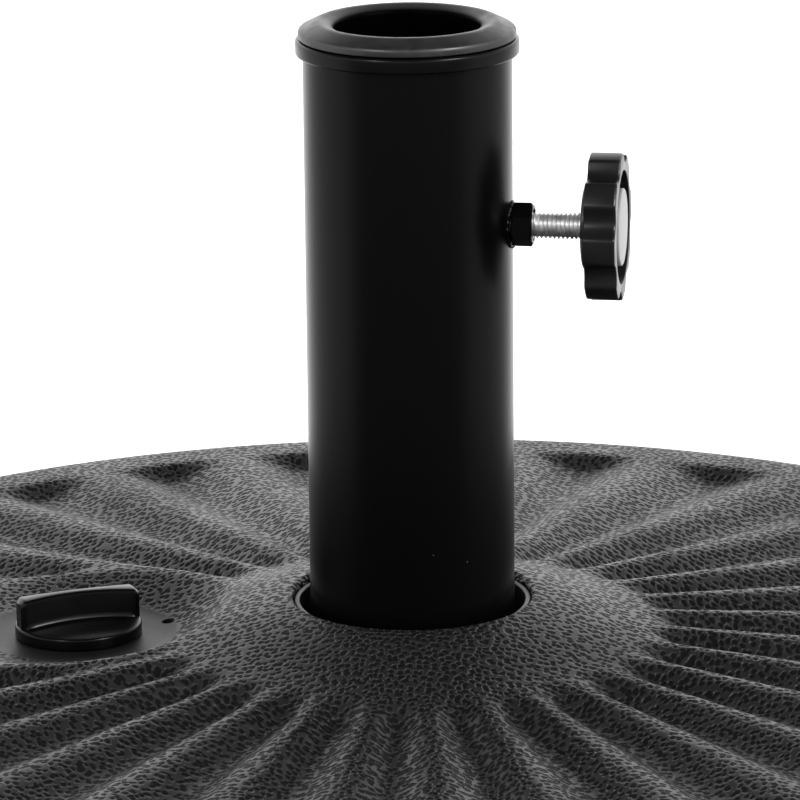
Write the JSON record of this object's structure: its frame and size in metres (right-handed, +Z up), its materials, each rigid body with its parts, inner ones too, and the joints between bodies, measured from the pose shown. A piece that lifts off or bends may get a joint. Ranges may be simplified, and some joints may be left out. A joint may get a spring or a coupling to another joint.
{
  "type": "parasol base",
  "caption": "Round ribbed plastic parasol base with a weighted core, upright steel pole tube, reducer ring, side clamp knob and screw-in fill cap.",
  "frame": {"origin": "centre of the underside, on the floor, on the pole tube's axis", "axes": "+Z up along the pole tube, +X along the clamp screw, out through the knob"},
  "size_m": [0.508, 0.508, 0.2453],
  "materials": {
    "shell_plastic": "satin",
    "black_plastic": "satin",
    "grey_plastic": "satin",
    "ballast": "matte",
    "black_rubber": "matte",
    "black_steel": "satin",
    "zinc_steel": "satin"
  },
  "bodies": {
    "base": {"base_shell": "shell_plastic", "ballast_fill": "ballast", "socket_sleeve": "black_plastic", "pole_tube": "black_steel", "tube_end_plate": "black_steel", "end_plate_nut": "black_steel", "centre_bolt": "zinc_steel", "centre_washer": "zinc_steel", "centre_lock_washer": "zinc_steel", "tube_collar": "black_plastic", "clamp_nut": "black_steel"},
    "pad": {"clamp_pad": "black_plastic"},
    "knob": {"clamp_bolt": "zinc_steel", "knob_body": "black_plastic", "knob_cap": "grey_plastic"},
    "seal": {"cap_seal": "black_rubber"},
    "cap": {"fill_cap": "black_plastic"},
    "reducer": {"reducer_ring": "black_plastic"}
  },
  "joints": [
    {"name": "clamp_travel", "type": "slide", "parent": "base", "child": "pad", "axis": [1, 0, 0], "range_m": [-0.0138, 0.0026]},
    {"name": "knob_turn", "type": "hinge", "parent": "pad", "child": "knob", "pos_m": [0.051, 0, 0.1859], "axis": [1, 0, 0], "range_deg": [-3960, 720]},
    {"name": "cap_rise", "type": "slide", "parent": "base", "child": "seal", "axis": [0, 0, 1], "range_m": [0, 0.0121]},
    {"name": "cap_turn", "type": "hinge", "parent": "seal", "child": "cap", "pos_m": [-0.10186, 0.00534, 0.0573], "axis": [0, 0, 1], "range_deg": [0, 1440]},
    {"name": "reducer_lift", "type": "slide", "parent": "base", "child": "reducer", "axis": [0, 0, 1], "range_m": [0, 0.05]}
  ],
  "couplings": [
    {"joint": "clamp_travel", "follows": "knob_turn", "m_per_rad": 0.00019894},
    {"joint": "cap_rise", "follows": "cap_turn", "m_per_rad": 0.00047746}
  ]
}
